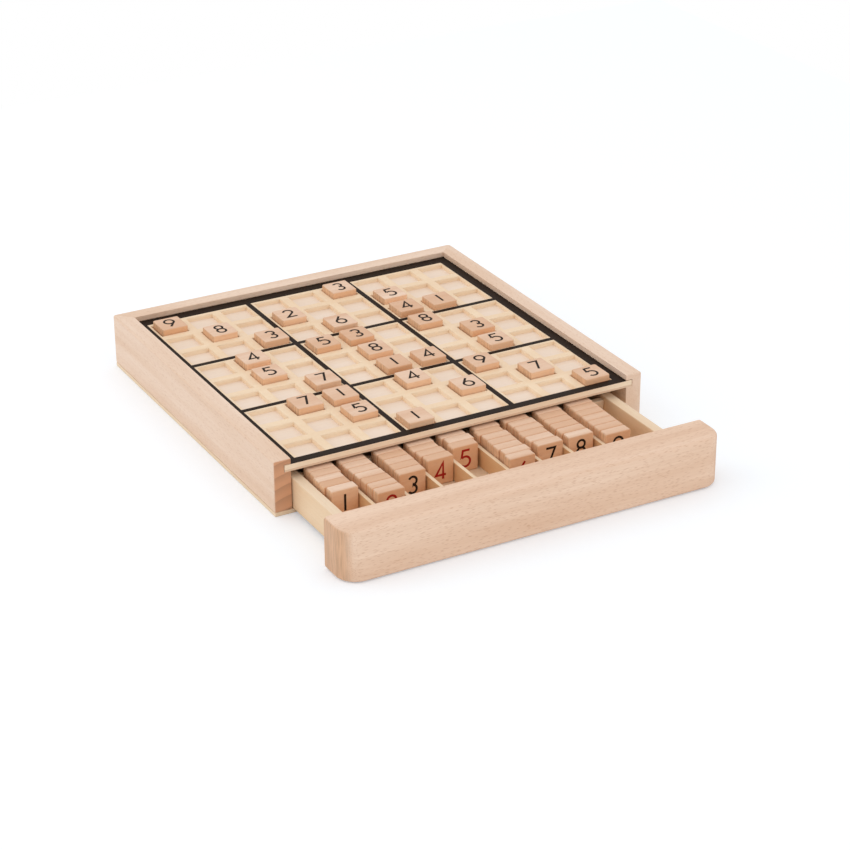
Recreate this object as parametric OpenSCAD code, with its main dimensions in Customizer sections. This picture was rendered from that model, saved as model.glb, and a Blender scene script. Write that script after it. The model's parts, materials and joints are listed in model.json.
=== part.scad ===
// Wooden sudoku board: a shallow case with a recessed grid on top, loose number tiles
// and a drawer that stores them on edge. Millimetres, +Z up, drawer opens towards -Y.
// The origin is the centre of the case's underside.

/* [Case] */
// Thickness of the left, right and back walls
wall_t = 10; // [7:0.5:14]
// Thickness of the bottom panel under the walls
bottom_t = 2.4; // [1.5:0.1:5]
// Height of the rim that the walls form above the board
rim_h = 3.4; // [1:0.1:8]
// Radius of the two back corners of the case
corner_r = 2; // [0.5:0.5:5]

/* [Board] */
// Thickness of the board's base sheet
base_t = 1.2; // [0.8:0.1:5]
// Thickness of the grid sheet, which is the depth of a recess
grid_t = 2.8; // [0.8:0.1:4]
// Side of a square recess
recess_w = 17; // [14:0.5:22]
// Width of the ribs between recesses
rib_w = 5.5; // [4.5:0.1:8]
// Distance from the side walls to the nearest recesses
side_margin = 6.5; // [5:0.1:12]
// Distance from the board's front edge to the front row of recesses
front_margin = 5.7; // [3:0.1:10]
// Distance from the back wall to the back row of recesses
back_margin = 9.3; // [5:0.1:14]
// Depth of the groove in the walls that holds the board's edges
groove_d = 4; // [2:0.5:6]
// Gap left above the board and at its edges in the groove
groove_clear = 0.4; // [0.1:0.05:0.8]

/* [Print] */
// Width of the black lines between blocks
line_w = 3.1; // [1.5:0.1:4]
// Gap between the recesses and the black border at the left and right
border_gap = 1.1; // [0.4:0.1:2.5]
// How far the border's window is printed behind the middle of the recesses
border_shift = 0.9; // [0:0.1:1.5]
// How far the print lies left of the middle of the recesses
print_left = 0.6; // [0:0.1:1]
// Thickness of the printed layer
ink_t = 0.15; // [0.05:0.05:0.4]

/* [Tiles] */
// Gap on each side of a tile in its recess
tile_play = 0.5; // [0.3:0.05:1]
// Thickness of a tile
tile_t = 6.3; // [4:0.1:9]
// Corner radius of a tile
tile_r = 1.2; // [0.5:0.1:4]
// Share of its play by which a loose tile may lie off the middle
slack_used = 0.7; // [0:0.05:0.9]

/* [Drawer] */
// How far the drawer stands open
drawer_open = 62; // [1:1:110]
// Thickness of the drawer front
front_t = 23; // [12:0.5:30]
// Radius of the drawer front's two front corners
front_r = 12; // [2:0.5:16]
// Gap between the drawer front and the table
front_lift = 0.3; // [0.2:0.1:2]
// How far the drawer front's top lies below the rim
front_drop = 2.8; // [0:0.1:8]
// How far the drawer front sits left of the middle of the case
front_left = 1.7; // [0:0.1:3]
// Thickness of the drawer's sides and back
side_t = 6; // [4:0.5:9]
// Height of the drawer's sides
side_h = 18.1; // [16:0.1:20]
// Gap between the drawer and the left wall
gap_left = 0.8; // [0.5:0.1:3]
// Gap between the drawer and the right wall
gap_right = 6.1; // [0.5:0.1:8]
// Gap between the closed drawer and the back wall
gap_back = 7; // [1:0.5:30]
// Gap between the drawer's sides and the bottom panel
runner_clear = 0.2; // [0.1:0.05:0.6]
// Thickness of the drawer floor
floor_t = 2.4; // [1.5:0.1:4]
// Height of the drawer floor's underside above the lower edge of the sides
floor_rise = 2.7; // [1:0.1:5]
// Depth of the grooves in the sides that hold the drawer floor
floor_groove_d = 3; // [1:0.5:3.5]
// Room between the tops of the standing tiles and the board
head_room = 1.5; // [0.5:0.1:5]

/* [Compartments] */
// Extra room at the left of the first compartment
first_room = 0.6; // [0:0.1:3]
// Thickness of the dividers
divider_t = 2.2; // [1:0.1:3]
// Height of the dividers and of the cross bar above the drawer floor
divider_h = 11; // [5:0.5:15]
// Gap on each side of a tile in its compartment
stack_play = 1; // [0.5:0.1:1.5]
// Gap between tiles in a stack
stack_gap = 0.35; // [0.1:0.05:0.8]
// Room in front of a full compartment of nine tiles
spare_l = 6; // [1:0.5:15]
// Thickness of the cross bar behind the compartments
bar_t = 4; // [2:0.5:10]

/* [Hidden] */
$fn = 48;

// Numbers on the board, from the back row to the front row, 0 where a recess is empty
givens = [
    [9, 0, 0, 0, 0, 3, 0, 0, 0],
    [0, 8, 0, 2, 0, 0, 5, 0, 0],
    [0, 0, 3, 0, 6, 0, 4, 1, 0],
    [0, 4, 0, 5, 3, 0, 8, 0, 0],
    [0, 5, 0, 0, 8, 0, 0, 3, 0],
    [0, 0, 7, 0, 1, 4, 0, 5, 0],
    [0, 7, 1, 0, 4, 0, 9, 0, 0],
    [0, 0, 5, 0, 0, 6, 0, 7, 0],
    [0, 0, 0, 1, 0, 0, 0, 0, 5]
];
// Tiles left in each compartment of the drawer, from number 1 to number 9
stack_counts = [5, 7, 5, 4, 3, 7, 6, 6, 7];

cells = len(givens);
block = 3;
// How far cuts reach past the faces that they cut
over = 1;

// Tile and compartments
tile_w = recess_w - 2 * tile_play;
comp_w = tile_w + 2 * stack_play;
comp_pitch = comp_w + divider_t;
stack_pitch = tile_t + stack_gap;
comp_l = cells * stack_pitch + spare_l;

// Heights, from the table up
tray_z = bottom_t + runner_clear;
tray_floor_z = tray_z + floor_rise;
tray_top_z = tray_floor_z + floor_t;
board_z = tray_top_z + tile_w + head_room;
grid_z = board_z + base_t;
board_top_z = grid_z + grid_t;
case_h = board_top_z + rim_h;
front_top_z = case_h - front_drop;

// Grid of recesses, case around it and board in it
cell_pitch = recess_w + rib_w;
field = cells * cell_pitch - rib_w;
bay_w = field + 2 * side_margin;
bay_d = front_margin + field + back_margin;
case_w = bay_w + 2 * wall_t;
case_d = bay_d + wall_t;
case_front = -case_d / 2;
case_back = case_d / 2;
bay_back = case_back - wall_t;
board_t = base_t + grid_t;
board_w = bay_w + 2 * (groove_d - groove_clear);
board_back = bay_back + groove_d - groove_clear;
field_front = case_front + front_margin;
field_left = -field / 2;

// Drawer, at its open place
front_back = case_front - drawer_open;
tray_d = bay_d - gap_back;
tray_left = -bay_w / 2 + gap_left;
tray_right = bay_w / 2 - gap_right;
inner_left = tray_left + side_t;
inner_right = tray_right - side_t;
tray_end = front_back + tray_d;
bar_front = front_back + comp_l;

function cell_x(column) = field_left + recess_w / 2 + (column - 1) * cell_pitch;
function cell_y(row) = field_front + recess_w / 2 + (cells - row) * cell_pitch;
function comp_left(k) = inner_left + first_room + (k - 1) * comp_pitch;
// A repeatable number from -1 to 1 that differs from piece to piece
function drift(a, b) = sin(137 * a + 211 * b + 59 * a * b);
function tile_node(row, column) = str("tile_r", row, "c", column);

placed = [
    for (row = [1 : cells]) for (column = [1 : cells])
        if (givens[row - 1][column - 1] > 0) [row, column]
];

// A box from its lowest corner to its highest corner
module box(low, high) {
    translate(low) cube(high - low);
}

// What a radius takes off a square corner, in plan, about the middle of the radius
module corner_off(radius) {
    difference() {
        square(radius + over);
        circle(radius);
    }
}

// What the round back corners of the case take away
module corner_waste() {
    for (flip = [0, 1])
        mirror([flip, 0, 0])
            translate([case_w / 2 - corner_r, case_back - corner_r, -over])
                linear_extrude(case_h + 2 * over) corner_off(corner_r);
}

// The board's groove, cut into all three walls
module board_groove() {
    box([-bay_w / 2 - groove_d, case_front - over, board_z],
        [bay_w / 2 + groove_d, bay_back + groove_d, board_z + board_t + groove_clear]);
}

// A wall of the case by its plan, on the bottom panel
module wall(plan) {
    color("burlywood")
        difference() {
            translate([0, 0, bottom_t]) linear_extrude(case_h - bottom_t) polygon(plan);
            board_groove();
            corner_waste();
        }
}

module left_wall() {
    wall([
        [-case_w / 2, case_front],
        [-bay_w / 2, case_front],
        [-bay_w / 2, bay_back],
        [-case_w / 2, case_back]
    ]);
}

module right_wall() {
    wall([
        [case_w / 2, case_front],
        [case_w / 2, case_back],
        [bay_w / 2, bay_back],
        [bay_w / 2, case_front]
    ]);
}

// Meets the side walls at mitres
module back_wall() {
    wall([
        [-bay_w / 2, bay_back],
        [bay_w / 2, bay_back],
        [case_w / 2, case_back],
        [-case_w / 2, case_back]
    ]);
}

module bottom_panel() {
    color("blanchedalmond")
        difference() {
            box([-case_w / 2, case_front, 0], [case_w / 2, case_back, bottom_t]);
            corner_waste();
        }
}

module board_base() {
    color("blanchedalmond")
        box([-board_w / 2, case_front, board_z], [board_w / 2, board_back, grid_z]);
}

// Full-width bars of the grid sheet, in front of, between and behind the rows
module grid_rails() {
    color("wheat")
        for (k = [0 : cells]) {
            y0 = k == 0 ? case_front : field_front + k * cell_pitch - rib_w;
            y1 = k == cells ? board_back : field_front + k * cell_pitch;
            box([-board_w / 2, y0, grid_z], [board_w / 2, y1, board_top_z]);
        }
}

// Short bars of the grid sheet, beside and between the recesses of each row
module grid_ribs() {
    color("wheat")
        for (row = [1 : cells]) for (k = [0 : cells]) {
            x0 = k == 0 ? -board_w / 2 : field_left + k * cell_pitch - rib_w;
            x1 = k == cells ? board_w / 2 : field_left + k * cell_pitch;
            y0 = cell_y(row) - recess_w / 2;
            box([x0, y0, grid_z], [x1, y0 + recess_w, board_top_z]);
        }
}

// The black border up to the walls, and the lines between the blocks
module printed_lines() {
    mid_y = field_front + field / 2;
    window_w = field + 2 * border_gap;
    window_y = mid_y + border_shift;
    line_off = block * cell_pitch / 2;
    color("black")
        translate([0, 0, board_top_z]) linear_extrude(ink_t) {
            difference() {
                translate([-bay_w / 2, case_front]) square([bay_w, bay_d]);
                translate([-print_left, window_y]) square(window_w, center = true);
            }
            for (side = [-1, 1]) {
                translate([side * line_off - print_left, window_y])
                    square([line_w, window_w], center = true);
                translate([-print_left, mid_y + side * line_off])
                    square([window_w, line_w], center = true);
            }
        }
}

module drawer_front() {
    color("burlywood")
        translate([-front_left, front_back, front_lift])
            linear_extrude(front_top_z - front_lift)
                difference() {
                    translate([-case_w / 2, -front_t]) square([case_w, front_t]);
                    for (flip = [0, 1])
                        mirror([flip, 0, 0])
                            translate([case_w / 2 - front_r, front_r - front_t])
                                mirror([0, 1, 0]) corner_off(front_r);
                }
}

// Grooves for the drawer floor, cut into both sides
module floor_groove() {
    box([inner_left - floor_groove_d, front_back - over, tray_floor_z],
        [inner_right + floor_groove_d, tray_end + over, tray_top_z]);
}

// A side of the drawer, from its left face at x
module drawer_side(x) {
    color("navajowhite")
        difference() {
            box([x, front_back, tray_z], [x + side_t, tray_end, tray_z + side_h]);
            floor_groove();
        }
}

module drawer_left_side() {
    drawer_side(tray_left);
}

module drawer_right_side() {
    drawer_side(inner_right);
}

module drawer_back() {
    color("navajowhite")
        box([inner_left, tray_end - side_t, tray_top_z], [inner_right, tray_end, tray_z + side_h]);
}

module drawer_floor() {
    color("blanchedalmond")
        box([inner_left - floor_groove_d, front_back, tray_floor_z],
            [inner_right + floor_groove_d, tray_end, tray_top_z]);
}

module compartment_bar() {
    color("navajowhite")
        box([inner_left, bar_front, tray_top_z],
            [inner_right, bar_front + bar_t, tray_top_z + divider_h]);
}

// Divider on the right of compartment k
module divider(k) {
    x0 = comp_left(k + 1) - divider_t;
    color("navajowhite")
        box([x0, front_back, tray_top_z], [x0 + divider_t, bar_front, tray_top_z + divider_h]);
}

// One number tile, lying flat on its middle
module tile() {
    flat = tile_w - 2 * tile_r;
    linear_extrude(tile_t) {
        square([tile_w, flat], center = true);
        square([flat, tile_w], center = true);
        for (x = [-1, 1], y = [-1, 1])
            translate([x * flat / 2, y * flat / 2]) circle(tile_r);
    }
}

// The tiles that stand on edge in compartment k, from the cross bar forwards
module stack(k) {
    color("tan")
        for (i = [0 : stack_counts[k - 1] - 1])
            translate([
                comp_left(k) + stack_play * (1 + slack_used * drift(k, i)) + tile_w / 2,
                bar_front - stack_gap - i * stack_pitch,
                tray_top_z + tile_w / 2
            ])
                rotate([90, 0, 0]) tile();
}

// A tile in its recess on the board
module board_tile(row, column) {
    color("tan")
        translate([
            cell_x(column) + slack_used * tile_play * drift(row, column),
            cell_y(row) + slack_used * tile_play * drift(column, row + cells),
            grid_z
        ])
            tile();
}

left_wall();
right_wall();
back_wall();
bottom_panel();
board_base();
grid_rails();
grid_ribs();
printed_lines();
drawer_front();
drawer_left_side();
drawer_right_side();
drawer_back();
drawer_floor();
compartment_bar();
for (k = [1 : cells - 1]) divider(k);
for (k = [1 : cells]) stack(k);
for (p = placed) board_tile(p[0], p[1]);
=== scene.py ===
"""Wooden sudoku board with a tile drawer: a shallow beech case, a recessed number grid and loose tiles."""

import json
import math

import bmesh
import bpy
import numpy as np
from mathutils import Matrix, Vector, geometry

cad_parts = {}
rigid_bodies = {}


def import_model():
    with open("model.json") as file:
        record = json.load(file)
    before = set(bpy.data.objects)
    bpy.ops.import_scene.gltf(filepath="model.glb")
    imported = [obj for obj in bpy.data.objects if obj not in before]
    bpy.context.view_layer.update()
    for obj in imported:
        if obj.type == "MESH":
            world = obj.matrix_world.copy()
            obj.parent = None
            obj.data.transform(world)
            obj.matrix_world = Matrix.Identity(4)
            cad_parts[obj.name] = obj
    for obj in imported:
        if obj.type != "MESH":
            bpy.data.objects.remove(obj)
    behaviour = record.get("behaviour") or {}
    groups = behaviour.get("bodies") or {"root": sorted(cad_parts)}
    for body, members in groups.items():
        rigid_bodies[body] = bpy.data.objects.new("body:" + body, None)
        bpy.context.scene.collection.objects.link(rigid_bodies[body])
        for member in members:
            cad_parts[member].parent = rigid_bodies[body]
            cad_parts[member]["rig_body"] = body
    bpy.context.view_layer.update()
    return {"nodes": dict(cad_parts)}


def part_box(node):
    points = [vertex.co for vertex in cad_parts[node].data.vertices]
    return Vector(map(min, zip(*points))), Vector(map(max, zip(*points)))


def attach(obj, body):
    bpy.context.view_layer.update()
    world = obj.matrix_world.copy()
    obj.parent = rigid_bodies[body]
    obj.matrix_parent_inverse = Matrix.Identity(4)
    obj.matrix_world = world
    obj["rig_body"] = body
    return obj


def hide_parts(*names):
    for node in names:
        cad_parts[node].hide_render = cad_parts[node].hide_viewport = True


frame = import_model()

# Bottom panel
# A thin sheet of pale ply, glued flat under the three walls and flush with their outer faces.
# Its edge shows as a pale strip along the foot of the case.


def linear(red, green, blue):
    """A colour as seen on a screen, 0 to 255, turned into the light that a shader works with."""
    shares = [c / 255 for c in (red, green, blue)]
    return (*[s / 12.92 if s <= 0.04045 else ((s + 0.055) / 1.055) ** 2.4 for s in shares], 1)


def shade(colour, factor):
    """A colour made darker or lighter, up to white."""
    return (*[min(1, factor * c) for c in colour[:3]], 1)


# A Mix node's sockets for two colours and for their blend
MIX_A, MIX_B, MIX_OUT = 6, 7, 2


def wood(name, pale, deep, grain="X", streak=0.5, fleck=0.3, end=None, pith=None, per_tile=False,
         side=None):
    """Planed wood whose grain runs along X or Y: broad streaks, fine lines and short dark flecks.

    end is the tone of the cut ends across the grain; side is painted light and shade, a tint on the
    upright faces.
    pith is the point, in millimetres across the grain, that the growth rings of a cut end go round.
    per_tile gives each tile its own cut of wood."""
    mm_per_m = 1000
    fleck_tint = (0.72, 0.58, 0.48, 1)
    line_share = 0.45
    tile_spread = 0.7
    ring_shade = 0.76
    cut_jump = (2310, 1470, 890)
    ring_long = 400
    material = bpy.data.materials.new(name)
    material.use_nodes = True
    nodes, links = material.node_tree.nodes, material.node_tree.links
    shader = nodes["Principled BSDF"]
    shader.inputs["Roughness"].default_value = 0.5
    shader.inputs["Specular IOR Level"].default_value = 0.3

    def add(kind, **settings):
        node = nodes.new(kind)
        for key, value in settings.items():
            setattr(node, key, value)
        return node

    def feed(value, socket):
        if isinstance(value, (int, float, tuple)):
            socket.default_value = value
        else:
            links.new(value, socket)

    def sums(operation, a, b=0.0):
        node = add("ShaderNodeMath", operation=operation)
        feed(a, node.inputs[0])
        feed(b, node.inputs[1])
        return node.outputs[0]

    def blend(kind, share, a, b):
        node = add("ShaderNodeMix", data_type="RGBA", blend_type=kind)
        feed(share, node.inputs[0])
        feed(a, node.inputs[MIX_A])
        feed(b, node.inputs[MIX_B])
        return node.outputs[MIX_OUT]

    def stretch(value, low, high, out_low=0.0, out_high=1.0):
        node = add("ShaderNodeMapRange")
        feed(value, node.inputs[0])
        for socket, number in zip(node.inputs[1:5], (low, high, out_low, out_high)):
            socket.default_value = number
        return node.outputs[0]

    place = add("ShaderNodeMapping")
    place.inputs["Rotation"].default_value = (0, 0, {"X": 0, "Y": -math.pi / 2}[grain])
    place.inputs["Scale"].default_value = (mm_per_m, mm_per_m, mm_per_m)
    links.new(add("ShaderNodeTexCoord").outputs["Object"], place.inputs["Vector"])
    spot = place.outputs["Vector"]
    normal = add("ShaderNodeSeparateXYZ")
    links.new(add("ShaderNodeNewGeometry").outputs["Normal"], normal.inputs[0])
    if per_tile:
        cut = add("ShaderNodeAttribute", attribute_name="cut")
        jump = add("ShaderNodeVectorMath", operation="MULTIPLY_ADD")
        links.new(cut.outputs["Fac"], jump.inputs[0])
        jump.inputs[1].default_value = cut_jump
        links.new(spot, jump.inputs[2])
        spot = jump.outputs[0]

    def along(long, wide, kind="ShaderNodeTexNoise", tall=None, middle=(0, 0), **settings):
        """A pattern whose marks are that many millimetres long, wide and tall."""
        tall = tall or wide
        fit = add("ShaderNodeVectorMath", operation="MULTIPLY_ADD")
        links.new(spot, fit.inputs[0])
        fit.inputs[1].default_value = (1 / long, 1 / wide, 1 / tall)
        fit.inputs[2].default_value = (0, -middle[0] / wide, -middle[1] / tall)
        pattern = add(kind, **settings)
        links.new(fit.outputs[0], pattern.inputs["Vector"])
        pattern.inputs["Scale"].default_value = 1
        return pattern

    broad = along(long=150, wide=11)
    broad.inputs["Detail"].default_value = 3
    fine = along(long=60, wide=1.1)
    fine.inputs["Detail"].default_value = 4
    dash = along(long=4.5, wide=0.62, kind="ShaderNodeTexVoronoi", feature="F1")
    band = stretch(broad.outputs["Fac"], low=0.36, high=0.66)
    line = stretch(fine.outputs["Fac"], low=0.4, high=0.7)
    mark = stretch(dash.outputs["Distance"], low=0.12, high=0.34, out_low=1, out_high=0)
    tone = blend("MIX", sums("MULTIPLY", band, streak), pale, deep)
    tone = blend("MIX", sums("MULTIPLY", line, line_share * streak), tone, deep)
    tone = blend("MULTIPLY", sums("MULTIPLY", mark, fleck), tone, fleck_tint)
    if per_tile:
        tone = blend("MIX", stretch(cut.outputs["Fac"], low=0, high=1, out_high=tile_spread), tone, deep)
    if end:
        if pith:
            rings = along(ring_long, wide=22, kind="ShaderNodeTexWave", middle=pith, wave_type="RINGS",
                          rings_direction="X", wave_profile="SAW")
            rings.inputs["Distortion"].default_value = 1.5
            dark = stretch(rings.outputs["Fac"], low=0.3, high=1)
        else:
            rings = along(ring_long, wide=0.8, tall=12)
            rings.inputs["Detail"].default_value = 3
            dark = stretch(rings.outputs["Fac"], low=0.38, high=0.66)
        across = stretch(sums("ABSOLUTE", normal.outputs[grain]), low=0.5, high=0.85)
        tone = blend("MIX", across, tone, blend("MIX", dark, end, shade(end, ring_shade)))
    # Painted light and shade: the upright faces take the side tint, lighter, darker or warmer than the
    # level ones.
    if side:
        upright_painted_light = stretch(sums("ABSOLUTE", normal.outputs["Z"]), low=0.3, high=0.8, out_low=1, out_high=0)
        tone = blend("MULTIPLY", upright_painted_light, tone, side)
    links.new(tone, shader.inputs["Base Color"])
    bump = add("ShaderNodeBump")
    bump.inputs["Strength"].default_value = 0.12
    bump.inputs["Distance"].default_value = 0.0002
    links.new(sums("ADD", sums("MULTIPLY", mark, -0.5), line), bump.inputs["Height"])
    links.new(bump.outputs[0], shader.inputs["Normal"])
    return material


def shown(name, data):
    """A new object in the scene for a mesh, a lamp or a camera."""
    thing = bpy.data.objects.new(name, data)
    bpy.context.scene.collection.objects.link(thing)
    return thing


WELD = 1e-6
FLAT_ANGLE = 0.01
SHARP_ANGLE = 0.5


def working_copy(node):
    """A CAD piece's mesh to work on, welded and with its flat faces made whole."""
    shape = bmesh.new()
    shape.from_mesh(frame["nodes"][node].data)
    bmesh.ops.remove_doubles(shape, verts=shape.verts, dist=WELD)
    bmesh.ops.dissolve_limit(shape, angle_limit=FLAT_ANGLE, verts=shape.verts, edges=shape.edges)
    return shape


def round_off(shape, edges, width, steps, **settings):
    """Rounds edges of a mesh and shades the new faces smooth."""
    done = bmesh.ops.bevel(shape, geom=edges, offset=width, segments=steps, profile=0.5, affect="EDGES",
                           **settings)
    for face in done["faces"]:
        face.smooth = True


def eased(node, name, material, width, steps=2, keep=None):
    """A CAD piece with its sharp edges rounded, as sanding leaves them; keep picks the edges."""
    shape = working_copy(node)
    edges = [e for e in shape.edges if e.is_manifold and e.calc_face_angle() > SHARP_ANGLE]
    if keep:
        edges = [e for e in edges if keep(*[v.co for v in e.verts])]
    round_off(shape, edges, width, steps, clamp_overlap=True)
    bmesh.ops.recalc_face_normals(shape, faces=shape.faces)
    mesh = bpy.data.meshes.new(name)
    shape.to_mesh(mesh)
    shape.free()
    mesh.materials.append(material)
    piece = shown(name, mesh)
    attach(piece, frame["nodes"][node]["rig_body"])
    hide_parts(node)


def dress(node, material):
    """Gives a CAD piece that keeps its shape its finish."""
    mesh = frame["nodes"][node].data
    mesh.materials.clear()
    mesh.materials.append(material)


panel_wood = wood("panel_ply", linear(238, 216, 188), linear(226, 194, 158), "Y", fleck=0.1)
eased("bottom_panel", "panel", panel_wood, width=0.0004)

# Walls
# Three planed beech boards, open at the front, glued at mitred back corners.
# A groove near the top of each holds the number board; the outer edges are lightly rounded.

beech_pale = linear(238, 212, 191)
beech_deep = linear(220, 182, 150)
left_end = linear(212, 158, 122)
left_pith = (100, -23)
back_end = linear(220, 170, 135)
groove_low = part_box("board_base")[0].z
groove_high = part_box("grid_rails")[1].z
inner_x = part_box("printed_lines")[1].x
inner_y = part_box("printed_lines")[1].y
CLOSE = 1e-5
GROOVE_PLAY = 5e-4


def outside_edge(a, b):
    """True for an edge on the outside of the case: not in a mitre, in the groove or around the board."""
    at_mitre = all(abs((abs(p.x) - inner_x) - (p.y - inner_y)) < 2 * CLOSE for p in (a, b))
    in_groove = any(groove_low - CLOSE < p.z < groove_high + GROOVE_PLAY for p in (a, b))
    inside = all(abs(p.x) < inner_x + CLOSE and p.y < inner_y + CLOSE for p in (a, b))
    return not at_mitre and not in_groove and not inside


for side, grain, end, pith in (("left", "Y", left_end, left_pith), ("right", "Y", None, None),
                               ("back", "X", back_end, None)):
    beech = wood(side + "_wall_beech", beech_pale, beech_deep, grain, fleck=0.5, end=end, pith=pith)
    eased(side + "_wall", side + "_rail", beech, width=0.0009, steps=3, keep=outside_edge)

# Number board
# A thin sheet of pale ply carries a thicker sheet, punched with nine rows of nine square recesses.
# The two are glued face to face and slide into the walls' groove from the front.

# Painted shade: the side tint darkens and browns the ply's upright edges.
board_ply = wood("board_ply", linear(242, 223, 206), linear(233, 209, 186), fleck=0.08,
                 side=(0.86, 0.76, 0.64, 1))
dress("board_base", board_ply)


def node_group(name, inputs):
    """An empty Geometry Nodes tree with named inputs, each (name, socket type)."""
    tree = bpy.data.node_groups.new(name, "GeometryNodeTree")
    tree.interface.new_socket("Geometry", in_out="INPUT", socket_type="NodeSocketGeometry")
    for label, kind in inputs:
        tree.interface.new_socket(label, in_out="INPUT", socket_type="NodeSocket" + kind)
    tree.interface.new_socket("Geometry", in_out="OUTPUT", socket_type="NodeSocketGeometry")
    return tree


def finish_tree(tree, shapes, material):
    """Ends a tree: its instances are made real and take the material."""
    nodes, links = tree.nodes, tree.links
    real = nodes.new("GeometryNodeRealizeInstances")
    links.new(shapes, real.inputs[0])
    paint = nodes.new("GeometryNodeSetMaterial")
    links.new(real.outputs[0], paint.inputs["Geometry"])
    links.new(material, paint.inputs["Material"])
    links.new(paint.outputs[0], nodes.new("NodeGroupOutput").inputs[0])


def grown(name, tree, mesh, values):
    """Runs a tree on a mesh with these inputs, and returns the result as a plain object."""
    piece = shown(name, mesh)
    modifier = piece.modifiers.new(name, "NODES")
    modifier.node_group = tree
    for item in tree.interface.items_tree:
        if item.in_out == "INPUT" and item.name in values:
            modifier[item.identifier] = values[item.name]
    bpy.context.view_layer.update()
    graph = bpy.context.evaluated_depsgraph_get()
    result = bpy.data.meshes.new_from_object(piece.evaluated_get(graph), depsgraph=graph)
    piece.modifiers.clear()
    piece.data = result
    return piece


def punched_sheet():
    """A tree that lays out the crossing bars of a sheet with square holes at a steady pitch."""
    tree = node_group("punched_sheet", [("Holes", "Int"), ("Pitch", "Float"), ("Hole", "Float"),
                                        ("First", "Vector"), ("Low", "Vector"), ("High", "Vector"),
                                        ("Material", "Material")])
    nodes, links = tree.nodes, tree.links
    given = nodes.new("NodeGroupInput").outputs

    def sums(operation, a, b=0.0, c=None):
        node = nodes.new("ShaderNodeMath")
        node.operation = operation
        for value, socket in zip((a, b, c), node.inputs):
            if isinstance(value, (int, float)):
                socket.default_value = value
            elif value is not None:
                links.new(value, socket)
        return node.outputs[0]

    def parts(vector):
        node = nodes.new("ShaderNodeSeparateXYZ")
        links.new(vector, node.inputs[0])
        return node.outputs

    lines = sums("MULTIPLY_ADD", given["Holes"], 2, 2)
    bars = sums("SUBTRACT", lines, 1)
    grid = nodes.new("GeometryNodeMeshGrid")
    links.new(lines, grid.inputs["Vertices X"])
    links.new(lines, grid.inputs["Vertices Y"])
    index = nodes.new("GeometryNodeInputIndex").outputs[0]
    first, low, high = parts(given["First"]), parts(given["Low"]), parts(given["High"])

    def count_off(length):
        """The column and the row of the point or face at hand, in a grid with columns of this length."""
        column = sums("FLOOR", sums("DIVIDE", sums("ADD", index, 0.5), length))
        return column, sums("SUBTRACT", index, sums("MULTIPLY", column, length))

    def line_place(count, axis):
        """Where a bar's edge lies: at a hole's near or far side, or at the sheet's own edge."""
        inner = sums("SUBTRACT", count, 1)
        hole = sums("FLOOR", sums("DIVIDE", inner, 2))
        far = sums("MODULO", inner, 2)
        place = sums("MULTIPLY_ADD", hole, given["Pitch"], first[axis])
        place = sums("MULTIPLY_ADD", far, given["Hole"], place)
        start = sums("LESS_THAN", count, 0.5)
        finish = sums("GREATER_THAN", count, sums("SUBTRACT", bars, 0.5))
        middle = sums("SUBTRACT", 1, sums("ADD", start, finish))
        return sums("ADD", sums("MULTIPLY", place, middle),
                    sums("ADD", sums("MULTIPLY", low[axis], start), sums("MULTIPLY", high[axis], finish)))

    column, row = count_off(lines)
    corner = nodes.new("ShaderNodeCombineXYZ")
    links.new(line_place(column, 0), corner.inputs[0])
    links.new(line_place(row, 1), corner.inputs[1])
    links.new(low[2], corner.inputs[2])
    lay = nodes.new("GeometryNodeSetPosition")
    links.new(grid.outputs[0], lay.inputs["Geometry"])
    links.new(corner.outputs[0], lay.inputs["Position"])
    face_column, face_row = count_off(bars)
    is_hole = sums("MULTIPLY", sums("MODULO", face_column, 2), sums("MODULO", face_row, 2))
    punch = nodes.new("GeometryNodeDeleteGeometry")
    punch.domain = "FACE"
    links.new(lay.outputs[0], punch.inputs["Geometry"])
    links.new(sums("GREATER_THAN", is_hole, 0.5), punch.inputs["Selection"])
    raise_up = nodes.new("GeometryNodeExtrudeMesh")
    raise_up.inputs["Individual"].default_value = False
    upward = nodes.new("ShaderNodeCombineXYZ")
    links.new(sums("SUBTRACT", high[2], low[2]), upward.inputs[2])
    links.new(punch.outputs[0], raise_up.inputs["Mesh"])
    links.new(upward.outputs[0], raise_up.inputs["Offset"])
    under = nodes.new("GeometryNodeFlipFaces")
    links.new(punch.outputs[0], under.inputs[0])
    both = nodes.new("GeometryNodeJoinGeometry")
    links.new(raise_up.outputs["Mesh"], both.inputs[0])
    links.new(under.outputs[0], both.inputs[0])
    weld = nodes.new("GeometryNodeMergeByDistance")
    weld.inputs["Distance"].default_value = WELD
    links.new(both.outputs[0], weld.inputs["Geometry"])
    finish_tree(tree, weld.outputs[0], given["Material"])
    return tree


ROWS = 9
RECESS = 0.017
CELL = 0.0225
RIM = 0.0005
RIM_ANGLE = 1
grid_low, grid_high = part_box("grid_rails")
rows_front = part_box("grid_ribs")[0].y
# Painted light: the side tint lightens and cools the recess walls, the sheet's upright faces.
grid_sheet = wood("grid_sheet", linear(244, 219, 188), linear(234, 202, 166), fleck=0.1,
                  side=(1.03, 1.08, 1.14, 1))
lattice = grown("number_grid", punched_sheet(), bpy.data.meshes.new("number_grid"), {
    "Holes": ROWS, "Pitch": CELL, "Hole": RECESS,
    "First": (-((ROWS - 1) * CELL + RECESS) / 2, rows_front, 0), "Low": grid_low, "High": grid_high,
    "Material": grid_sheet})


def recess_rim(edge):
    """True for a recess's upper rim, but not at the front of the first row: the print ends close to it."""
    points = [v.co for v in edge.verts]
    return (all(abs(p.z - grid_high.z) < WELD for p in points)
            and edge.is_manifold and edge.calc_face_angle() > RIM_ANGLE
            and all(grid_low.x + RIM < p.x < grid_high.x - RIM and p.y < grid_high.y - RIM for p in points)
            and max(p.y for p in points) > rows_front + RIM)


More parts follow.
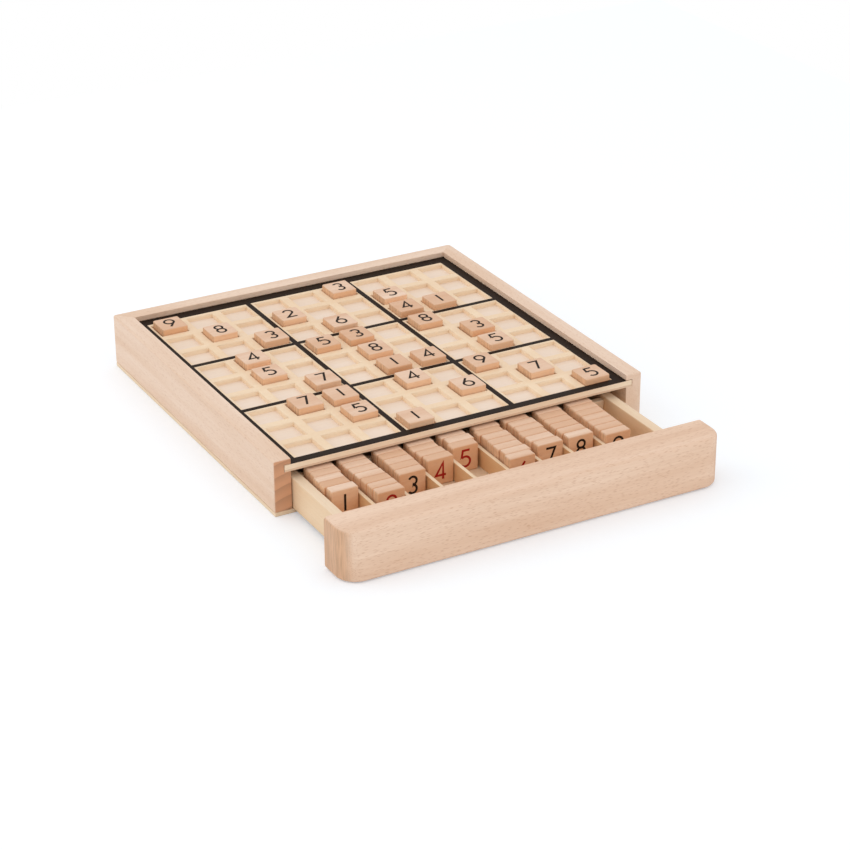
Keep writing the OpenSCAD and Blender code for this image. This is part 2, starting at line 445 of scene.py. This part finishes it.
shape = bmesh.new()
shape.from_mesh(lattice.data)
round_off(shape, [e for e in shape.edges if recess_rim(e)], RIM, 2, material=-1)
shape.to_mesh(lattice.data)
shape.free()
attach(lattice, "case")
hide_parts("grid_rails", "grid_ribs")

# Black print
# A border and four lines in black ink, screen printed on the grid sheet.
# The ink is nearly matt and a little uneven in tone.


def ink(name, colour):
    """Printed ink, a little uneven in tone where the wood drank it."""
    material = bpy.data.materials.new(name)
    material.use_nodes = True
    nodes, links = material.node_tree.nodes, material.node_tree.links
    shader = nodes["Principled BSDF"]
    shader.inputs["Roughness"].default_value = 0.6
    shader.inputs["Specular IOR Level"].default_value = 0.1
    cloud = nodes.new("ShaderNodeTexNoise")
    cloud.inputs["Scale"].default_value = 900
    cloud.inputs["Detail"].default_value = 4
    links.new(nodes.new("ShaderNodeTexCoord").outputs["Object"], cloud.inputs["Vector"])
    fade = nodes.new("ShaderNodeMix")
    fade.data_type = "RGBA"
    links.new(cloud.outputs["Fac"], fade.inputs[0])
    fade.inputs[MIX_A].default_value = shade(colour, 0.75)
    fade.inputs[MIX_B].default_value = shade(colour, 1.3)
    links.new(fade.outputs[MIX_OUT], shader.inputs["Base Color"])
    return material


black_ink = ink("black_ink", linear(38, 26, 18))
dress("printed_lines", black_ink)

# Number tiles
# Small square beech tiles with rounded corners and edges, sawn from strips and tumbled smooth.
# One lies in each given square of the puzzle; a thin black number is printed on its face.


def tile_layer():
    """A tree that sets a tile blank on each point and gives each tile its own cut of wood."""
    tree = node_group("tile_layer", [("Blank", "Object"), ("Turn", "Vector"), ("Seed", "Int"),
                                     ("Material", "Material")])
    nodes, links = tree.nodes, tree.links
    given = nodes.new("NodeGroupInput").outputs
    blank = nodes.new("GeometryNodeObjectInfo")
    links.new(given["Blank"], blank.inputs["Object"])
    turn = nodes.new("FunctionNodeEulerToRotation")
    links.new(given["Turn"], turn.inputs[0])
    lay = nodes.new("GeometryNodeInstanceOnPoints")
    links.new(given["Geometry"], lay.inputs["Points"])
    links.new(blank.outputs["Geometry"], lay.inputs["Instance"])
    links.new(turn.outputs[0], lay.inputs["Rotation"])
    chance = nodes.new("FunctionNodeRandomValue")
    chance.data_type = "FLOAT"
    links.new(given["Seed"], chance.inputs["Seed"])
    keep = nodes.new("GeometryNodeStoreNamedAttribute")
    keep.data_type = "FLOAT"
    keep.domain = "INSTANCE"
    keep.inputs["Name"].default_value = "cut"
    links.new(lay.outputs[0], keep.inputs["Geometry"])
    links.new([o for o in chance.outputs if o.type == "VALUE"][0],
              [s for s in keep.inputs if s.name == "Value" and s.type == "VALUE"][0])
    finish_tree(tree, keep.outputs[0], given["Material"])
    return tree


def tile_spots(node):
    """The middle of each tile in a CAD node, from the tile nearest the front to the last."""
    shape = bmesh.new()
    shape.from_mesh(frame["nodes"][node].data)
    bmesh.ops.remove_doubles(shape, verts=shape.verts, dist=WELD)
    unseen, spots = set(shape.verts), []
    while unseen:
        found = [unseen.pop()]
        for vert in found:
            for edge in vert.link_edges:
                other = edge.other_vert(vert)
                if other in unseen:
                    unseen.remove(other)
                    found.append(other)
        corners = np.array([v.co for v in found])
        spots.append(Vector((corners.min(0) + corners.max(0)) / 2))
    shape.free()
    return sorted(spots, key=lambda spot: spot.y)


TILE_EDGE = 0.0006
# Painted shade: the side tint makes the tiles' upright faces warmer and more orange, the printed faces of
# the standing tiles too.
tile_wood = wood("tile_beech", linear(240, 211, 188), linear(216, 168, 131), streak=0.6,
                 end=linear(222, 184, 154), per_tile=True, side=(1.07, 0.98, 0.85, 1))
sample = "tile_r1c1"
shape = working_copy(sample)
rims = [e for e in shape.edges if abs(e.verts[0].co.z - e.verts[1].co.z) < WELD]
for face in shape.faces:
    face.smooth = abs(face.normal.z) < 0.5
round_off(shape, rims, TILE_EDGE, 3)
bmesh.ops.translate(shape, verts=shape.verts, vec=-tile_spots(sample)[0])
blank_mesh = bpy.data.meshes.new("tile_blank")
shape.to_mesh(blank_mesh)
shape.free()
blank = shown("tile_blank", blank_mesh)
tiles_tree = tile_layer()


def lay_tiles(node, name, turn, seed):
    """Tiles at the places that a CAD node gives them, as one piece of that node's body."""
    points = bpy.data.meshes.new(name)
    points.from_pydata([tuple(spot) for spot in tile_spots(node)], [], [])
    piece = grown(name, tiles_tree, points,
                  {"Blank": blank, "Turn": turn, "Seed": seed, "Material": tile_wood})
    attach(piece, frame["nodes"][node]["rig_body"])
    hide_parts(node)


ARC_STEP = 15


def arc(middle, radius, start, finish):
    """Points along part of a circle, by degrees from +X."""
    steps = max(3, int(abs(finish - start) / ARC_STEP))
    angles = [math.radians(start + (finish - start) * i / steps) for i in range(steps + 1)]
    return [(middle[0] + radius * math.cos(a), middle[1] + radius * math.sin(a)) for a in angles]


# Each number as pen strokes in a box one unit high, with the middle of its foot at the origin
STROKES = {
    1: [[(0, 0), (0, 1)]],
    2: [arc((0, 0.72), 0.28, 165, -35) + [(-0.3, 0), (0.32, 0)]],
    3: [arc((-0.01, 0.75), 0.25, 150, -90) + arc((-0.01, 0.25), 0.25, 90, -150)],
    4: [[(0.14, 0), (0.14, 1), (-0.32, 0.26), (0.32, 0.26)]],
    5: [[(0.27, 1), (-0.16, 1), (-0.24, 0.55)] + arc((-0.01, 0.31), 0.31, 130, -140)],
    6: [arc((0, 0.3), 0.3, 0, 360), [(0.14, 1), (-0.27, 0.42)]],
    7: [[(-0.29, 1), (0.29, 1), (-0.1, 0)]],
    8: [arc((0, 0.76), 0.24, 0, 360), arc((0, 0.27), 0.27, 0, 360)],
    9: [arc((0, 0.7), 0.3, 0, 360), [(-0.14, 0), (0.27, 0.58)]],
}
NUMBER_HIGH = 0.0097
PEN = 0.0013
INK_THICK = 0.00006
MITRE_LIMIT = 0.4
CDT_INSIDE = 1
STROKE_ANGLE = 0.02


def ribbon(line, pen):
    """The quads of a pen stroke of even width along a line, mitred at its corners."""
    closed = (Vector(line[0]) - Vector(line[-1])).length < WELD
    points = [Vector(p) for p in (line[:-1] if closed else line)]
    count = len(points)
    sides = []
    for i, point in enumerate(points):
        before = (point - points[i - 1]).normalized() if closed or i else None
        after = (points[(i + 1) % count] - point).normalized() if closed or i < count - 1 else None
        before, after = before or after, after or before
        across = Vector((-before.y - after.y, before.x + after.x)).normalized()
        reach = pen / 2 / max(MITRE_LIMIT, across.dot(Vector((-before.y, before.x))))
        sides.append((point + across * reach, point - across * reach))
    pairs = zip(sides, sides[1:] + (sides[:1] if closed else []))
    return [(a[0], a[1], b[1], b[0]) for a, b in pairs]


def number_mesh(digit, name):
    """One flat number as a thin closed layer of ink, with its middle at the origin."""
    quads = [quad for line in STROKES[digit] for quad in ribbon(line, PEN / NUMBER_HIGH)]
    corners = [corner for quad in quads for corner in quad]
    faces = [list(range(4 * i, 4 * i + 4)) for i in range(len(quads))]
    merged = geometry.delaunay_2d_cdt(corners, [], faces, CDT_INSIDE, CLOSE)
    points, triangles, sources = merged[0], merged[2], merged[5]
    shape = bmesh.new()
    verts = [shape.verts.new((p.x * NUMBER_HIGH, (p.y - 0.5) * NUMBER_HIGH, 0)) for p in points]
    for triangle, source in zip(triangles, sources):
        if source:
            shape.faces.new([verts[i] for i in triangle])
    bmesh.ops.dissolve_limit(shape, angle_limit=STROKE_ANGLE, verts=shape.verts, edges=shape.edges)
    bmesh.ops.delete(shape, geom=[v for v in shape.verts if not v.link_faces], context="VERTS")
    top = bmesh.ops.extrude_face_region(shape, geom=shape.faces[:])
    bmesh.ops.translate(shape, verts=[v for v in top["geom"] if isinstance(v, bmesh.types.BMVert)],
                        vec=(0, 0, INK_THICK))
    bmesh.ops.recalc_face_normals(shape, faces=shape.faces)
    mesh = bpy.data.meshes.new(name)
    shape.to_mesh(mesh)
    shape.free()
    return mesh


def print_number(digit, name, body, place, turn, colour):
    """A number printed on a tile's face: place is the face's middle, turn stands the number up."""
    mesh = number_mesh(digit, name)
    mesh.transform(Matrix.Translation(place) @ Matrix.Rotation(turn, 4, "X"))
    mesh.materials.append(colour)
    piece = shown(name, mesh)
    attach(piece, body)


GIVENS = ("900003000", "080200500", "003060410", "040530800", "050080030",
          "007014050", "071040900", "005006070", "000100005")
ROW_SEED = 10
for row, numbers in enumerate(GIVENS, 1):
    for column, number in enumerate(numbers, 1):
        if number != "0":
            square = "r%dc%d" % (row, column)
            lay_tiles("tile_" + square, "wood_" + square, (0, 0, 0), ROW_SEED * row + column)
            low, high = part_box("tile_" + square)
            face = Vector(((low.x + high.x) / 2, (low.y + high.y) / 2, high.z))
            print_number(int(number), "number_" + square, "tile_" + square, face, 0, black_ink)

# Drawer
# A thick beech front with large rounded corners is glued to a thin pale tray.
# The tray's sides are grooved for a ply floor, and they run on the bottom panel.

front_beech = wood("front_beech", linear(240, 210, 186), linear(217, 176, 145), streak=0.65, fleck=0.7,
                   end=linear(222, 178, 143))
joint_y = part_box("drawer_front")[1].y - CLOSE
eased("drawer_front", "front", front_beech, width=0.002, steps=4,
      keep=lambda a, b: min(a.y, b.y) < joint_y)
# Painted light: the side tint warms the tray sides' upright faces, as lit by the warm wood around them.
side_wood = wood("tray_side_wood", linear(241, 219, 192), linear(230, 198, 162), "Y", fleck=0.15,
                 side=(1, 0.95, 0.87, 1))
for side in ("left", "right"):
    eased("drawer_%s_side" % side, "tray_%s" % side, side_wood, width=0.0005)
cross_wood = wood("tray_cross_wood", linear(238, 216, 188), linear(224, 190, 154), fleck=0.15)
eased("drawer_back", "tray_back", cross_wood, width=0.0005)
floor_ply = wood("tray_floor_ply", linear(236, 212, 182), linear(222, 188, 150), fleck=0.1)
dress("drawer_floor", floor_ply)

# Compartments
# Thin strips stand on the drawer floor between the front and a cross bar.
# They part the loose tiles by number.

eased("compartment_bar", "cross_bar", cross_wood, width=0.0004)
# Painted shade: the side tint darkens and reddens the strips' upright faces, as deep in the compartments.
strip_wood = wood("strip_wood", linear(240, 216, 186), linear(228, 194, 154), "Y", fleck=0.15,
                  side=(0.9, 0.74, 0.56, 1))
for k in range(1, ROWS):
    eased("divider_%d" % k, "strip_%d" % k, strip_wood, width=0.0003)

# Stored tiles
# Tiles of one number stand on edge in each compartment, faces to the front.
# They carry a number in black or in red, and the front tile of each stack shows it.

red_ink = ink("red_ink", linear(165, 30, 24))
UPRIGHT = math.pi / 2
STACK_SEED = 200
SHOWS_RED = (2, 4, 5, 6)
for k in range(1, ROWS + 1):
    stack = "stack_%d" % k
    lay_tiles(stack, "stored_%d" % k, (UPRIGHT, 0, 0), STACK_SEED + k)
    spot = tile_spots(stack)[0]
    face = Vector((spot.x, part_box(stack)[0].y, spot.z))
    colour = red_ink if k in SHOWS_RED else black_ink
    print_number(k, "stored_number_%d" % k, "drawer", face, UPRIGHT, colour)
bpy.data.objects.remove(blank)

# Table, light and camera
# The board lies on a plain white table under soft lights from the left, from above and from the front.
# The camera stands to the left of the front and looks down on the board.

reach = 0.6
table_z = -0.0001
table_mesh = bpy.data.meshes.new("table")
table_mesh.from_pydata([(-reach, -reach, table_z), (reach, -reach, table_z), (reach, reach, table_z),
                        (-reach, reach, table_z)], [], [(0, 1, 2, 3)])
table = shown("table", table_mesh)


def seen_share(tree, share):
    """How far the plain white shows: to the camera, and in what gloss and glass reflect."""
    rays = tree.nodes.new("ShaderNodeLightPath").outputs
    total = rays["Is Camera Ray"]
    for ray in ("Is Glossy Ray", "Is Transmission Ray"):
        most = tree.nodes.new("ShaderNodeMath")
        most.operation = "MAXIMUM"
        tree.links.new(total, most.inputs[0])
        tree.links.new(rays[ray], most.inputs[1])
        total = most.outputs[0]
    part = tree.nodes.new("ShaderNodeMath")
    part.operation = "MULTIPLY"
    tree.links.new(total, part.inputs[0])
    part.inputs[1].default_value = share
    return part.outputs[0]


def show_white(tree, lit, white, share, output):
    """Joins what light falls on with the plain white that is seen."""
    mix = tree.nodes.new("ShaderNodeMixShader")
    tree.links.new(seen_share(tree, share), mix.inputs[0])
    tree.links.new(lit.outputs[0], mix.inputs[1])
    tree.links.new(white.outputs[0], mix.inputs[2])
    tree.links.new(mix.outputs[0], tree.nodes[output].inputs["Surface"])


table_white = bpy.data.materials.new("table_white")
table_white.use_nodes = True
nodes = table_white.node_tree.nodes
nodes.remove(nodes["Principled BSDF"])
paper = nodes.new("ShaderNodeBsdfDiffuse")
paper.inputs["Color"].default_value = (0.905, 0.925, 0.935, 1)
glow = nodes.new("ShaderNodeEmission")
glow.inputs["Color"].default_value = (0.84, 0.9, 1, 1)
glow.inputs["Strength"].default_value = 2.6
show_white(table_white.node_tree, paper, glow, share=0.1, output="Material Output")
table_mesh.materials.append(table_white)

world = bpy.data.worlds.new("studio")
bpy.context.scene.world = world
world.use_nodes = True
nodes = world.node_tree.nodes
sky = nodes["Background"]
sky.inputs["Color"].default_value = (1, 1, 1, 1)
sky.inputs["Strength"].default_value = 0.86
backdrop = nodes.new("ShaderNodeBackground")
backdrop.inputs["Color"].default_value = (1, 1, 1, 1)
show_white(world.node_tree, sky, backdrop, share=1, output="World Output")


def aim(thing, place, target, roll=0.0):
    """Stands a lamp or camera at a place, looking at a target."""
    look = (Vector(target) - Vector(place)).to_track_quat("-Z", "Y").to_matrix().to_4x4()
    thing.matrix_world = Matrix.Translation(place) @ look @ Matrix.Rotation(roll, 4, "Z")


lamp_target = (0, -0.03, 0)
for name, place, size, power in (("soft_box", (-1.2, 0.4, 0.9), 1.3, 3.5),
                                 ("top_box", (0.1, 0.3, 1.5), 1.4, 1),
                                 ("front_box", (0.5, -1.6, 0.6), 1.2, 2.5)):
    lamp = bpy.data.lights.new(name, "AREA")
    lamp.size = size
    lamp.energy = power
    aim(shown(name, lamp), place, lamp_target)

camera_place = (-0.5874, -1.14355, 0.6096)
camera_target = (-0.00707, -0.07921, 0.015)
camera_roll = math.radians(-0.332)
camera = bpy.data.cameras.new("camera")
camera.sensor_width = 36
camera.lens = 102.81
camera_object = shown("camera", camera)
aim(camera_object, camera_place, camera_target, camera_roll)
bpy.context.scene.camera = camera_object
bpy.context.scene.view_settings.view_transform = "Standard"
